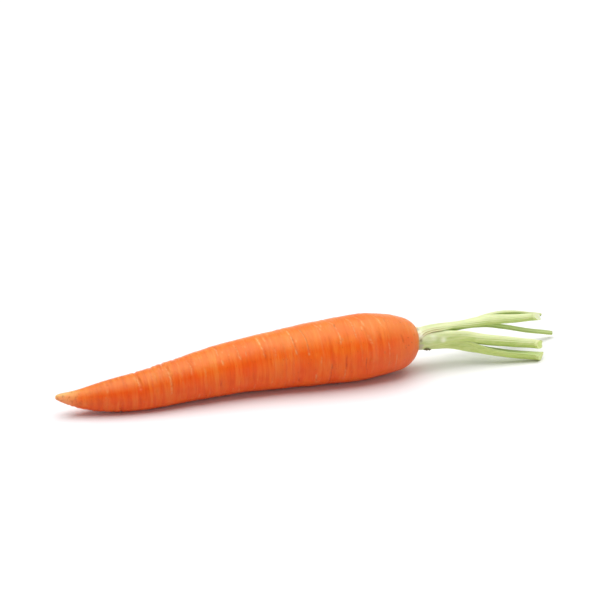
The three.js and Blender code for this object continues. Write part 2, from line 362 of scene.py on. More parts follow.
def wrapped(a):
    return (a + np.pi) % (2 * np.pi) - np.pi


def build_taproot():
    base, out, x, ang, r, direction = root_surface()
    rr = np.repeat(r[:, None], COLS, 1)
    px, py, pz = base[..., 0], base[..., 1], base[..., 2]
    rng = np.random.default_rng(20417)

    body = smooth(-125, -112, x) * (1 - smooth(54, 58, x))
    size = np.clip(rr / 16.0, 0.12, 1.0)
    d = np.zeros_like(x)
    pale = np.zeros_like(x)
    brown = np.zeros_like(x)
    # painted shade for the creases: the deeper a crease, the darker its floor
    crease_shade = np.zeros_like(x)

    # the root isn't truly round: long soft lumps and flats
    d += 0.34 * size * fbm(px / 24.0, py / 15.0, pz / 15.0, 3, 2) * body
    d += 0.13 * size * fbm(px / 8.0, py / 8.0, pz / 8.0, 11, 2) * body

    # soft bands where growth slowed, all the way round, wavering
    wob = 1.3 * noise(px / 30.0, py / 9.0, pz / 9.0, 21)
    bands = noise((x + wob) / 5.2, 0, 0, 31) + 0.6 * noise((x + wob) / 2.6, 0.3, 0, 32)
    d += 0.10 * size * (1 + 0.7 * smooth(-30, -95, x)) * bands * body * (0.7 + 0.6 * noise(px / 15, py / 10, pz / 10, 33))

    # ring creases: partial arcs round the root
    def crease(xi, ai, half, w, depth, lip=0.35, pale_k=0.0, brown_k=0.0, tilt=0.0, taper=1.0):
        """half is the half-length round the root in mm."""
        near = np.abs(x[:, 0] - xi) < 6.0 * w + abs(tilt) * half + 0.8
        if not near.any():
            return
        rows = np.where(near)[0]
        xx, aa, ra = x[rows], ang[rows], np.maximum(rr[rows], 0.8)
        arc = wrapped(aa - ai) * ra
        rip = 0.22 * noise(arc / 1.7 + 50, xi, 0.0, 61) * min(1.0, w * 2.2)
        off = xx - xi - tilt * arc - rip
        end = np.clip(1 - (np.abs(arc) / half) ** 2, 0, 1) ** taper
        core = bump(off, w) * end
        lips = (bump(np.abs(off) - 1.9 * w, 0.9 * w)) * end
        d[rows] += -depth * core + lip * depth * lips
        pale[rows] = np.maximum(pale[rows], pale_k * bump(off, 1.15 * w) * np.sqrt(end))
        brown[rows] = np.maximum(brown[rows], brown_k * bump(off, 0.8 * w) * end)
        # painted shade in the crease's floor
        crease_shade[rows] = np.maximum(crease_shade[rows], core * min(1.0, depth / 0.3))

    n_rings = 64
    for i in range(n_rings):
        xi = -119 + 174 * ((i + rng.uniform(0.1, 0.9)) / n_rings)
        ra = np.interp(xi, ROOT[:36, 0], ROOT[:36, 3])
        half = ra * rng.uniform(0.6, 2.2)
        thin_end = smooth(-70, -110, xi)
        crease(
            xi, rng.uniform(0, 2 * np.pi), half, rng.uniform(0.3, 0.7),
            rng.uniform(0.04, 0.13) * (0.55 + 0.6 * ra / 16) * (1 + 1.2 * thin_end), 0.4,
            rng.choice([0, 0, 0.08, 0.16]), 0.0, rng.normal(0, 0.012), 0.7,
        )
    # notches that show in the outline of the thin end's underside and on top of it
    for xi, ai, dp in (
        (-115.6, 150, 0.16), (-110.2, 155, 0.10), (-102.8, 148, 0.14), (-94.6, 150, 0.30),
        (-92.6, 205, 0.25), (-85.6, 10, 0.22), (-77.2, 5, 0.26), (-71.3, 0, 0.34), (-65.0, -10, 0.2),
    ):
        crease(xi, math.radians(ai), 11.0, 0.8, dp, 0.5, 0.0, 0.0, 0.0, 0.5)
    # lenticels: short slits across the root; the viewer's side has its own, so fewer there
    n_len = 190
    for i in range(n_len):
        xi = rng.uniform(-118, 54)
        ra = np.interp(xi, ROOT[:36, 0], ROOT[:36, 3])
        half = rng.uniform(0.8, 3.6) * (0.45 + 0.6 * ra / 16)
        kind = rng.uniform()
        ai = rng.uniform(0, 2 * np.pi)
        seen = -0.5 < wrapped(ai) < 2.4
        if seen and i % 3:
            continue
        crease(
            xi, ai, half * (0.6 if seen else 1.0), rng.uniform(0.22, 0.36),
            rng.uniform(0.08, 0.26), rng.uniform(0.4, 0.9),
            0.8 if kind < 0.55 else 0.3, 0.0 if kind < 0.6 else rng.uniform(0.35, 0.9),
            rng.normal(0, 0.03), 0.8,
        )

    # the measured marks follow the skin itself
    cy = np.interp(px, ROOT[:36, 0], ROOT[:36, 1])
    cz = np.interp(px, ROOT[:36, 0], ROOT[:36, 2])
    ang2 = np.degrees(np.arctan2(-(py - cy), pz - cz))
    for q, (pts, w, dp, pl, br, lip) in enumerate(LINES):
        pts = np.array(pts)
        near = (px > pts[:, 1].min() - 5 * w - 1) & (px < pts[:, 1].max() + 5 * w + 1)
        near &= np.abs(wrapped(np.radians(ang2 - pts[:, 0].mean()))) < 1.6
        xx, aa, ra = px[near], ang2[near], np.maximum(rr[near], 0.8)
        if len(xx) == 0:
            continue
        line = np.interp(aa, pts[:, 0], pts[:, 1])
        over = np.maximum(pts[0, 0] - aa, aa - pts[-1, 0]) * np.pi / 180 * ra
        end = 1 - smooth(-0.9, 0.9, over)
        arc = aa * np.pi / 180 * ra
        off = xx - line - 0.13 * noise(arc / 1.3, q, 0.0, 61)
        beat = 0.30 + 0.70 * smooth(-0.40, 0.15, noise(arc / 0.8, q * 3.0, 2.0, 63))
        core = bump(off, w) * end
        d[near] += -dp * core * (0.6 + 0.4 * beat) + lip * dp * bump(np.abs(off) - 2.0 * w, 0.9 * w) * end
        # the pale colour sits on the mark's wall towards the tip: partly real pale scar tissue, partly a painted
        # highlight on the lit wall
        pale_tipward_off = off + 0.35 * w
        pale[near] = np.maximum(pale[near], 1.15 * pl * bump(pale_tipward_off, 0.9 * w) * end * beat)
        brown[near] = np.maximum(brown[near], 1.15 * br * bump(off - 0.1, 0.66 * w) * end * beat)
        # painted shade in the mark's groove
        crease_shade[near] = np.maximum(crease_shade[near], 0.8 * core)
    for xi, ai, rad, br in SPOTS:
        arc = wrapped(np.radians(ang2 - ai)) * np.maximum(rr, 0.8)
        dist = np.hypot(px - xi, arc * 0.8)
        core = bump(dist, rad)
        d += -0.16 * core * rad / 0.5
        brown = np.maximum(brown, br * core)

    # fine wrinkles across the root, finer towards the tip
    fine = 1.25 * noise(px / 1.05, py / 5.5, pz / 5.5, 71) + 0.6 * noise(px / 0.6, py / 3.5, pz / 3.5, 72)
    patchy = 0.35 + 0.65 * smooth(-0.4, 0.7, noise(px / 11, py / 7, pz / 7, 73))
    d += 0.032 * fine * patchy * body * (0.25 + 0.75 * size)

    # furrows that run in over the shoulder to the crown
    furrow = noise(np.cos(ang) * 3.1, np.sin(ang) * 3.1, px / 9.0, 81)
    d += 0.3 * furrow * smooth(49, 56.5, x) * (1 - smooth(5.9, 7.2, 13 - rr) * 0.4)

    pos = base + d[..., None] * out
    # the underside bears on the surface, and gives a little
    z = pos[..., 2]
    soft = 0.12
    pos[..., 2] = np.where(z < 2.0, 0.5 * (z + np.sqrt(z * z + soft * soft)), z)
    pos[0] = pos[0].mean(0)
    pos[-1] = pos[-1].mean(0)

    # how the skin's colour runs: 0 at the tip to 1 at the crown, and near the collar
    verts = np.concatenate([pos[0, :1], pos[1:-1].reshape(-1, 3), pos[-1, :1]])
    faces = [f for f in grid_faces(ROWS - 2, COLS, 1)]
    last = 1 + (ROWS - 3) * COLS
    top = len(verts) - 1
    for j in range(COLS):
        k = (j + 1) % COLS
        faces.append((0, 1 + k, 1 + j))
        faces.append((last + j, last + k, top))

    def flat(a):
        return np.concatenate([[a[0].mean()], a[1:-1].ravel(), [a[-1].mean()]])

    at = {
        "pale": flat(np.clip(pale, 0, 1)),
        "brown": flat(np.clip(brown, 0, 1)),
        "crease_shade": flat(np.clip(crease_shade, 0, 1)),
        "along": flat((x + 125) / 183.0),
        "collar": flat(smooth(10.5, 6.2, rr) * smooth(50, 56, x)),
        # turn: 1 on top, 0 beneath; it drives the skin's painted top highlight, painted flank band and painted
        # underside shade
        "turn": flat(0.5 + 0.5 * np.cos(ang)),
    }
    return mesh_object("taproot_skin", verts, faces, at)


# ------------------------------------------------------------------------------------------
# the leaf stalks
# ------------------------------------------------------------------------------------------

COLLAR = np.array([-2.0, 16.1])
COLLAR_R = 5.85

# path: centre line [x, y, z, half-breadth, half-thickness], as in the model. out: which way the
# back of the stalk faces at the base and the cut, as [y, z]. sheath: the base's place in the
# collar as [middle angle, half-angle, mean radius, half-thickness], angle 0 on top and 90 to
# the viewer's side. cut: how far the knife's plane leans, in degrees.
STALKS = {
    "petiole_upper": {
        "out": [[-0.13, 0.99], [-0.72, 0.69]], "wrap": [0.085, 0.03], "channel": 0.35,
        "path": [
            [58.25, -2.3, 19.8, 3.75, 1.4], [63.5, -2.25, 20.5, 3.15, 1.4], [69.7, -2.1, 20.75, 2.5, 1.5],
            [81.2, -1.29, 20.45, 2.45, 1.65], [89.2, -0.58, 20.3, 2.9, 1.65], [99.1, 0.27, 20.5, 3.0, 1.65],
            [112.7, 1.44, 18.9, 2.5, 1.6], [124.6, 2.44, 17.75, 2.05, 1.55], [131.2, 3.0, 17.1, 1.9, 1.5],
        ],
        "sheath": [2, 5.5, 0.5, 0.045], "half": [(57, 88), (59.3, 78), (60.8, 64), (62.5, 51), (66, 43.5), (69, 42.5), (75, 43), (79, 38), (86, 30)],
        "join": [68, 84], "cut": 61, "plane": 1, "seed": 5, "bright": 0.02, "margin": 1.0,
        "cap": [(0.86, 0.92, 0.56), (0.98, 0.98, 0.82)],
    },
    "petiole_back": {
        "out": [[0.95, -0.3], [0.5, -0.87]], "wrap": [0.08, 0.02], "channel": 0.3,
        "path": [
            [58.25, 1.55, 14.8, 1.95, 1.2], [64.5, 1.9, 15.15, 1.65, 1.15], [74.1, 2.9, 15.9, 1.4, 1.15],
            [83.5, 4.05, 16.3, 1.35, 1.15], [91.9, 5.11, 16.06, 1.3, 1.1], [102.8, 6.61, 14.49, 1.3, 1.1],
            [108.9, 7.45, 12.78, 1.3, 1.1], [117.0, 8.53, 10.21, 1.3, 1.1], [123.9, 9.45, 7.9, 1.3, 1.1],
            [130.8, 10.37, 5.81, 1.25, 1.05], [138.4, 11.37, 3.77, 1.2, 1.0], [143.2, 12.0, 2.47, 1.1, 0.95],
        ],
        "sheath": [-105, 4.6, 0.8, 0.0], "half": [(57, 54), (64, 44), (76, 30)],
        "join": [61, 76], "cut": 20, "plane": 0, "seed": 9, "bright": -0.12, "margin": 0.3,
    # this stalk's bright of -0.12 is painted shade: it lies behind the others
    },
    "petiole_middle": {
        "out": [[-1.0, -0.02], [-0.93, 0.36]], "wrap": [0.085, 0.03], "channel": 0.35,
        "path": [
            [58.25, -5.75, 16.0, 1.5, 1.35], [62.0, -5.8, 16.2, 1.55, 1.4], [67.5, -5.8, 16.55, 1.8, 1.5],
            [73.8, -6.0, 16.7, 2.15, 1.7], [80.0, -6.35, 16.4, 2.45, 1.85], [86.7, -6.85, 15.2, 2.65, 1.95],
            [92.1, -7.26, 13.64, 2.8, 2.0], [99.2, -7.78, 12.19, 2.75, 2.0], [111.8, -8.71, 9.71, 2.5, 1.95],
            [123.8, -9.59, 7.67, 2.25, 1.85], [126.7, -9.8, 7.25, 2.2, 1.8],
        ],
        "sheath": [86, 5.05, 0.75, 0.0], "half": [(57, 53), (62, 54.5), (68, 54.5), (73, 49), (78, 42.5), (90, 34)],
        "join": [74, 90], "cut": 56, "plane": 1, "seed": 13, "bright": 0.0, "margin": 0.25,
    },
    "petiole_lower": {
        "out": [[-0.3, -0.95], [0.26, -0.965]], "wrap": [0.085, 0.04], "channel": 0.9,
        "path": [
            [58.25, -3.0, 12.2, 2.7, 1.3], [62.0, -3.05, 12.0, 2.4, 1.35], [66.9, -3.2, 11.86, 2.2, 1.45],
            [73.1, -4.46, 11.5, 2.2, 1.55], [79.8, -5.6, 10.5, 2.35, 1.7], [87.0, -6.9, 9.0, 2.5, 1.8],
            [94.4, -8.3, 7.4, 2.6, 1.9], [104.9, -10.1, 5.15, 2.65, 1.95], [114.3, -11.6, 3.45, 2.65, 1.95],
            [124.4, -13.1, 2.12, 2.55, 1.9], [126.0, -13.3, 1.98, 2.5, 1.88],
        ],
        "sheath": [170, 5.05, 0.8, -0.055], "half": [(57, 68), (74, 64), (80, 54), (86, 44)],
        "join": [68, 86], "cut": 42, "plane": 0, "close": [0.74, 0.90],
        "far": [(74, 0.0), (80, 0.5), (86, 1.0), (91, 0.8), (97, 0.2), (104, 0.0)],
        "lift": [(60, 0.0), (66, 0.7), (73, 1.9), (80, 3.0), (86.5, 3.4), (91, 2.5), (95.7, 1.6), (104, 1.0), (114, 1.2), (126, 1.0)], "seed": 17, "bright": -0.04, "margin": 0.3,
    },
    "petiole_inner": {
        "out": [[0.8, 0.6], [0.6, 0.8]], "wrap": [0.02, 0.02], "channel": 0.2,
        "path": [
            [58.25, -1.1, 16.7, 1.1, 0.9], [65.0, -0.25, 17.3, 1.1, 0.95], [73.7, 1.6, 17.8, 1.1, 0.95],
            [83.0, 3.0, 18.1, 1.1, 1.0], [91.3, 4.09, 18.9, 1.25, 1.1], [101.0, 5.3, 20.15, 1.35, 1.3],
            [109.8, 6.45, 20.3, 1.35, 1.3], [118.9, 7.59, 18.95, 1.25, 1.15], [125.7, 8.43, 17.3, 1.1, 1.0],
            [134.5, 9.5, 15.02, 1.1, 0.95],
        ],
        "sheath": None, "cut": 15, "plane": 0, "seed": 21, "bright": -0.08, "margin": 0.0,
    },
}

# knobs and swellings on the bases: x, y, z, radius, height
KNOBS = {
    "petiole_upper": [
        [58.9, -3.0, 22.0, 0.8, 2.9, 1.0], [59.2, -0.9, 22.0, 0.7, 0.7, 0.8], [59.3, -5.0, 20.6, 0.8, 0.5, 1.0],
    ],
    "petiole_middle": [
        [71.4, -7.9, 16.2, 1.15, 0.55, 1.0], [66.1, -8.0, 18.1, 1.3, 0.34, 0.7], [64.0, -8.0, 16.0, 2.2, 0.35, 0.15],
    ],
}
# painted shade in the crevices between the bases: x, y, z, radius
CREVICE_SHADE = [[59.5, -7.0, 17.2, 0.75]]

AROUND, ALONG, CAP = 132, 260, 10


def build_stalk(name, s):
    path = np.array(s["path"], float)
    u = np.concatenate([[0], np.cumsum(np.linalg.norm(np.diff(path[:, :3], axis=0), axis=1))])
    at = spline(u, path)
    length = u[-1]
    # the base runs back into the crown's recess, out of sight
    t = np.linspace(-1.0, length, ALONG)
    rows = at(np.clip(t, 0, length))
    before = np.minimum(t, 0.0)
    c = rows[:, :3].copy()
    c[:, 0] += before
    d = unit(at(np.clip(t + 0.5, 0, length))[:, :3] - at(np.clip(t - 0.5, 0, length))[:, :3])
    f = np.clip(t / length, 0, 1)[:, None]
    o = np.zeros((ALONG, 3))
    o[:, 1:] = np.array(s["out"][0]) * (1 - f) + np.array(s["out"][1]) * f
    o = unit(o - (o * d).sum(1, keepdims=True) * d)
    w = np.cross(d, o)
    th = np.linspace(0, 2 * np.pi, AROUND, endpoint=False)
    cw, co = np.cos(th)[None, :], np.sin(th)[None, :]
    a, b = rows[:, 3:4], rows[:, 4:5]
    k = (np.array(s["wrap"])[0] * (1 - f) + np.array(s["wrap"])[1] * f)
    X = c[:, 0:1]
    across = a * cw
    thick = b * co
    # the channel on the side that faces the middle of the bunch
    ch = s["channel"] * smooth(0.04, 0.25, f)
    if "close" in s:
        ch = ch * (1 - 0.9 * smooth(s["close"][0], s["close"][1], f))
    thick = np.where(co < 0, thick * (1 - 1.25 * ch * bump(cw, 0.55 - 0.08 * (s["channel"] > 0.5))), thick)
    thick = thick - k * across**2
    free = c[:, None, :] + across[..., None] * w[:, None, :] + thick[..., None] * o[:, None, :]

    if s["sheath"]:
        mid, rm, hb, rise = s["sheath"]
        tab = np.array(s["half"], float)
        half_x = np.interp(X[:, 0], tab[:, 0], tab[:, 1])[:, None]
        phi = np.radians(mid + half_x * cw)
        if rm < 5.3:
            rm = rm - 0.3 * (1 - smooth(58.2, 60.5, X))
        else:
            rm = rm - 0.62 * (1 - smooth(59.5, 67.0, X)) * (1 - smooth(20, 46, np.degrees(phi)))
        edge = np.sqrt(np.clip(1 - np.abs(cw) ** 3.0, 0, 1))
        rad = rm + hb * np.sign(co) * np.abs(co) ** 0.8 * (0.3 + 0.7 * edge)
        # the sheath's dry margin stands a little proud, with a fold beside it
        fold = bump(cw - 0.965, 0.045) + 0.9 * bump(cw - 0.73, 0.055) + 0.7 * bump(cw - 0.49, 0.06)
        rad = (rad + 0.24 * s["margin"] * fold * (co > 0) * smooth(78, 70, X)) * np.ones_like(X)
        cy = COLLAR[0] - 0.03 * (X - 58)
        cz = COLLAR[1] + rise * (X - 58)
        sheath = np.stack(
            [
                np.broadcast_to(X, rad.shape),
                cy - rad * np.sin(phi),
                cz + rad * np.cos(phi),
            ],
            -1,
        )
        mix = (1 - smooth(s["join"][0], s["join"][1], X))[..., None]
        pos = sheath * mix + free * (1 - mix)
    else:
        mix = np.zeros((ALONG, 1, 1))
        pos = free

    if "lift" in s:
        # the near margin curls up against its neighbour
        tab = np.array(s["lift"])
        rise = np.interp(X[:, 0], tab[:, 0], tab[:, 1])[:, None]
        side = smooth(0.15, 1.0, cw * np.sign(s.get("near", -1)))
        pos = pos.copy()
        pos[..., 2] += rise * side
        pos[..., 1] += 0.3 * rise * side * smooth(96, 86, X)

    if "far" in s:
        # the far margin of the hollow stands up too
        tab = np.array(s["far"])
        pos = pos.copy()
        pos[..., 2] += np.interp(X[:, 0], tab[:, 0], tab[:, 1])[:, None] * smooth(0.1, 0.9, cw)

    mean = pos.mean(1, keepdims=True)
    nrm = unit(pos - mean)
    seed = s["seed"]
    # ribs along the stalk, stronger on its back
    peri = th[None, :] + 0.25 * noise(t[:, None] / 22.0, seed, 0, seed)
    n_rib = 17 if s["sheath"] else 11
    rib = 0.5 + 0.5 * np.cos(n_rib * peri + 2.2 * noise(np.cos(th) * 2, np.sin(th) * 2, seed, seed + 1)[None, :])
    rib = rib**0.7
    size = np.clip(a / 2.4, 0.45, 1.0)
    amp = 0.085 * size * (0.35 + 0.65 * (co > -0.2)) * (1 - 0.6 * mix[..., 0])
    line = fbm(np.cos(th)[None, :] * 5.5, np.sin(th)[None, :] * 5.5, t[:, None] / 26.0, seed + 3, 2)
    relief = amp * (rib - 0.6) + 0.03 * size * line
    # small lumps and dents, and a slow waver of the whole stalk
    relief = relief + 0.10 * size * noise(pos[..., 0] / 9.0, pos[..., 1] / 3.0, pos[..., 2] / 3.0, seed + 4)
    relief = relief + 0.035 * noise(pos[..., 0] / 1.6, pos[..., 1] / 1.3, pos[..., 2] / 1.3, seed + 5)
    pos = pos + relief[..., None] * nrm

    # small pale knobs at the foot of the stalks
    knob = np.zeros(pos.shape[:2])
    for kx, ky, kz, kr, kh, kc in KNOBS.get(name, []):
        g = bump(np.linalg.norm((pos - np.array([kx, ky, kz])) * np.array([0.8, 1, 1]), axis=-1), kr)
        pos = pos + (kh * g)[..., None] * nrm
        knob = np.maximum(knob, kc * g)

    # painted shade: a near-black patch where the bases meet in a crevice
    dark = np.zeros(pos.shape[:2])
    for kx, ky, kz, kr in CREVICE_SHADE:
        g = bump(np.linalg.norm((pos - np.array([kx, ky, kz])) * np.array([1, 0.5, 0.8]), axis=-1), kr)
        dark = np.maximum(dark, g)

    around = np.degrees(np.arctan2(-(pos[..., 1] - COLLAR[0]), pos[..., 2] - COLLAR[1]))
    ragged = 0.7 * noise(pos[..., 0] / 1.1, pos[..., 1] / 0.9, pos[..., 2] / 0.9, 51)
    old = smooth(61.6, 59.8, pos[..., 0] + ragged) * smooth(88, 108, around) * (1 - smooth(172, 188, around))
    if name == "petiole_upper":
        rim = smooth(61.3, 59.8, pos[..., 0] + 0.5 * ragged) * smooth(-40, -10, around) * (1 - smooth(55, 75, around))
        knob = np.maximum(knob, rim)

    # the knife's slanting cut: the viewer's side ends sooner
    lean = math.tan(math.radians(s["cut"]))
    wcut = smooth(length - 7.0, length, t)[:, None]
    if s["plane"]:
        depth = ((pos - c[:, None, :]) * o[:, None, :]).sum(-1)
        off = -(depth - depth.min(1, keepdims=True)) * lean + 0.25
    else:
        off = (pos[..., 1] - pos[..., 1].max(1, keepdims=True) + 0.35) * lean
    pos[..., 0] += off * wcut
    # a ragged lip where the blade left
    pos[-1, :, 0] += 0.10 * noise(np.cos(th) * 4, np.sin(th) * 4, 0.5, seed + 6)

    verts = [pos.reshape(-1, 3)]
    faces = [grid_faces(ALONG, AROUND)]
    n = ALONG * AROUND
    rib_a = [(rib * np.ones_like(X)).ravel()]
    along_a = [np.repeat(np.clip(t, 0, None), AROUND) / length]
    face_a = [np.zeros(n)]
    back_a = [np.broadcast_to(0.5 + 0.5 * co, (ALONG, AROUND)).ravel()]
    seam = bump(cw - 0.985, 0.05) + 0.95 * bump(cw - 0.79, 0.045) + 0.7 * bump(cw - 0.55, 0.045)
    seam = np.broadcast_to(seam * (co > -0.3), (ALONG, AROUND)) * smooth(75, 67, X) * smooth(0, 0.4, mix[..., 0])
    edge_a = [(seam * s["margin"]).ravel()]
    # the cut face: a rim, a slightly sunken pith, and the veins round it
    rim = pos[-1]
    mid_pt = rim.mean(0)
    prev = (ALONG - 1) * AROUND
    for i in range(1, CAP + 1):
        q = 1 - (i / (CAP + 1)) ** 1.1
        ring = mid_pt + (rim - mid_pt) * q
        veins = bump(q - 0.74, 0.13) * (0.5 + 0.5 * np.cos(n_rib * th))
        sink = -0.30 * smooth(1.0, 0.75, q) + 0.13 * veins
        sink = sink + 0.05 * noise(ring[:, 1] / 0.5, ring[:, 2] / 0.5, 0, seed + 8)
        ring = ring + sink[:, None] * d[-1]
        start = n
        verts.append(ring)
        j = np.arange(AROUND)
        jn = (j + 1) % AROUND
        faces.append(np.stack([prev + j, prev + jn, start + jn, start + j], 1))
        rib_a.append(veins)
        along_a.append(np.ones(AROUND))
        face_a.append(np.full(AROUND, 1.0))
        back_a.append(np.full(AROUND, 0.8))
        edge_a.append(np.zeros(AROUND))
        prev = start
        n += AROUND
    verts.append((mid_pt + d[-1] * -0.30)[None])
    tris = [(prev + j, prev + (j + 1) % AROUND, n) for j in range(AROUND)]
    tip = n
    n += 1
    verts.append(pos[0].mean(0)[None])
    tris += [((j + 1) % AROUND, j, n) for j in range(AROUND)]
    for arr, end in ((rib_a, 0.0), (along_a, 1.0), (face_a, 1.0), (back_a, 0.8), (edge_a, 0.0)):
        arr.append(np.array([end, 0.0]))
    v = np.concatenate(verts)
    fs = [tuple(q)[::-1] for q in [r for block in faces for r in block] + tris]
    ob = mesh_object(
        name + "_stalk", v, fs,
        {
            "rib": np.concatenate(rib_a), "along": np.concatenate(along_a),
            "cutface": np.concatenate(face_a), "back": np.concatenate(back_a),
            "margin": np.concatenate(edge_a), "knob": np.concatenate([knob.ravel(), np.zeros(len(v) - knob.size)]),
            "old": np.concatenate([old.ravel(), np.zeros(len(v) - old.size)]),
            "dark": np.concatenate([dark.ravel(), np.zeros(len(v) - dark.size)]),
        },
    )
    return ob


# ------------------------------------------------------------------------------------------
# the dried base of an old leaf, a thin curled flake under the collar
# ------------------------------------------------------------------------------------------


def build_flake():
    nu, nv = 70, 30
    uu = np.linspace(0, 1, nu)[:, None]
    vv = np.linspace(-1, 1, nv)[None, :]
    path = spline([0, 0.35, 0.7, 1.0], [[61.9, -5.75, 11.4], [63.0, -5.9, 11.28], [64.2, -6.05, 11.1], [65.4, -6.2, 10.9]])
    c = path(uu[:, 0])
    wide = (0.45 + 0.7 * np.sin(np.pi * np.clip(uu * 1.15, 0, 1)) - 0.35 * uu**3) * (1 + 0.22 * noise(uu * 7, 0, vv * 0.6, 3) * np.ones_like(vv))
    curl = 0.09 * (wide * vv) ** 2
    out = np.array([0.0, -0.667, -0.745])
    across = np.array([0.0, -0.745, 0.667])
    crumple = 0.22 * fbm(uu * 9, vv * 2.2, 0.0, 41, 3) + 0.16 * np.sin(vv * 9 + 3 * uu)
    sheets = []
    for sgn in (1, -1):
        hgt = -curl + crumple + sgn * (0.13 + 0.05 * noise(uu * 20, vv * 6, sgn, 43)) * np.sqrt(np.clip(1 - vv**6, 0.02, 1))
        p = c[:, None, :] + (wide * vv)[..., None] * across + hgt[..., None] * out
        p[..., 0] += 0.8 * uu * noise(vv * 3.0, 1.0, 0, 45) + 0.3 * uu * noise(vv * 9.0, 1.0, 0, 46)
        sheets.append(p)
    v = np.concatenate([sheets[0].reshape(-1, 3), sheets[1].reshape(-1, 3)])
    n = nu * nv
    faces = []
    for i in range(nu - 1):
        for j in range(nv - 1):
            a = i * nv + j
            faces.append((a, a + 1, a + nv + 1, a + nv))
            faces.append((n + a + nv, n + a + nv + 1, n + a + 1, n + a))
    border = [i * nv for i in range(nu)] + [(nu - 1) * nv + j for j in range(1, nv)]
    border += [i * nv + nv - 1 for i in range(nu - 2, -1, -1)] + [j for j in range(nv - 2, 0, -1)]
    for q, a in enumerate(border):
        b = border[(q + 1) % len(border)]
        faces.append((a, b, n + b, n + a))
    faces = [f[::-1] for f in faces]
    return mesh_object("dried_leaf_base_flake", v, faces, {"along": np.concatenate([np.repeat(uu[:, 0], nv)] * 2)})


# ------------------------------------------------------------------------------------------
# materials
# ------------------------------------------------------------------------------------------


class Nodes:
    """A small helper that lays out a node tree."""

    def __init__(self, name):
        self.m = bpy.data.materials.new(name)
        self.m.use_nodes = True
        self.t = self.m.node_tree
        self.t.nodes.clear()
        self.out = self.t.nodes.new("ShaderNodeOutputMaterial")
        self.bsdf = self.t.nodes.new("ShaderNodeBsdfPrincipled")
        self.t.links.new(self.bsdf.outputs[0], self.out.inputs["Surface"])

    def link(self, a, b):
        self.t.links.new(a, b)

    def put(self, socket, value):
        if hasattr(value, "is_output"):
            self.t.links.new(value, socket)
        else:
            socket.default_value = value

    def attr(self, name):
        n = self.t.nodes.new("ShaderNodeAttribute")
        n.attribute_name = name
        return n.outputs["Fac"]

    def coords(self, scale=(1, 1, 1), rotate=(0, 0, 0), offset=(0, 0, 0)):
        tc = self.t.nodes.new("ShaderNodeTexCoord")
        mp = self.t.nodes.new("ShaderNodeMapping")
        mp.inputs["Scale"].default_value = scale
        mp.inputs["Rotation"].default_value = rotate
        mp.inputs["Location"].default_value = offset
        self.link(tc.outputs["Object"], mp.inputs["Vector"])
        return mp.outputs[0]

    def noise(self, vector, scale=1.0, detail=4.0, rough=0.55, distortion=0.0):
        n = self.t.nodes.new("ShaderNodeTexNoise")
        n.inputs["Scale"].default_value = scale
        n.inputs["Detail"].default_value = detail
        n.inputs["Roughness"].default_value = rough
        n.inputs["Distortion"].default_value = distortion
        self.link(vector, n.inputs["Vector"])
        return n.outputs["Fac"]

    def voronoi(self, vector, scale=1.0, feature="F1"):
        n = self.t.nodes.new("ShaderNodeTexVoronoi")
        n.feature = feature
        n.inputs["Scale"].default_value = scale
        self.link(vector, n.inputs["Vector"])
        return n.outputs["Distance"]

    def ramp(self, fac, stops):
        n = self.t.nodes.new("ShaderNodeValToRGB")
        cr = n.color_ramp
        while len(cr.elements) > 1:
            cr.elements.remove(cr.elements[0])
        first = True
        for p, col in stops:
            e = cr.elements[0] if first else cr.elements.new(p)
            e.position = p
            e.color = (*col, 1.0) if len(col) == 3 else col
            first = False
        self.link(fac, n.inputs["Fac"])
        return n.outputs["Color"]

    def grey(self, fac, stops):
        return self.ramp(fac, [(p, (v, v, v)) for p, v in stops])

    def math(self, op, a, b=0.0, clamp=False):
        n = self.t.nodes.new("ShaderNodeMath")
        n.operation = op
        n.use_clamp = clamp
        self.put(n.inputs[0], a)
        self.put(n.inputs[1], b)
        return n.outputs[0]

    def mix(self, fac, a, b, blend="MIX"):
        n = self.t.nodes.new("ShaderNodeMix")
        n.data_type = "RGBA"
        n.blend_type = blend
        n.clamp_result = False
        self.put(n.inputs[0], fac)
        for sock, v in ((n.inputs[6], a), (n.inputs[7], b)):
            self.put(sock, v if hasattr(v, "is_output") else (*v, 1.0))
        return n.outputs[2]

    def bump(self, height, strength=0.3, distance=0.0002, normal=None):
        n = self.t.nodes.new("ShaderNodeBump")
        n.inputs["Strength"].default_value = strength
        n.inputs["Distance"].default_value = distance
        self.link(height, n.inputs["Height"])
        if normal is not None:
            self.link(normal, n.inputs["Normal"])
        return n.outputs[0]


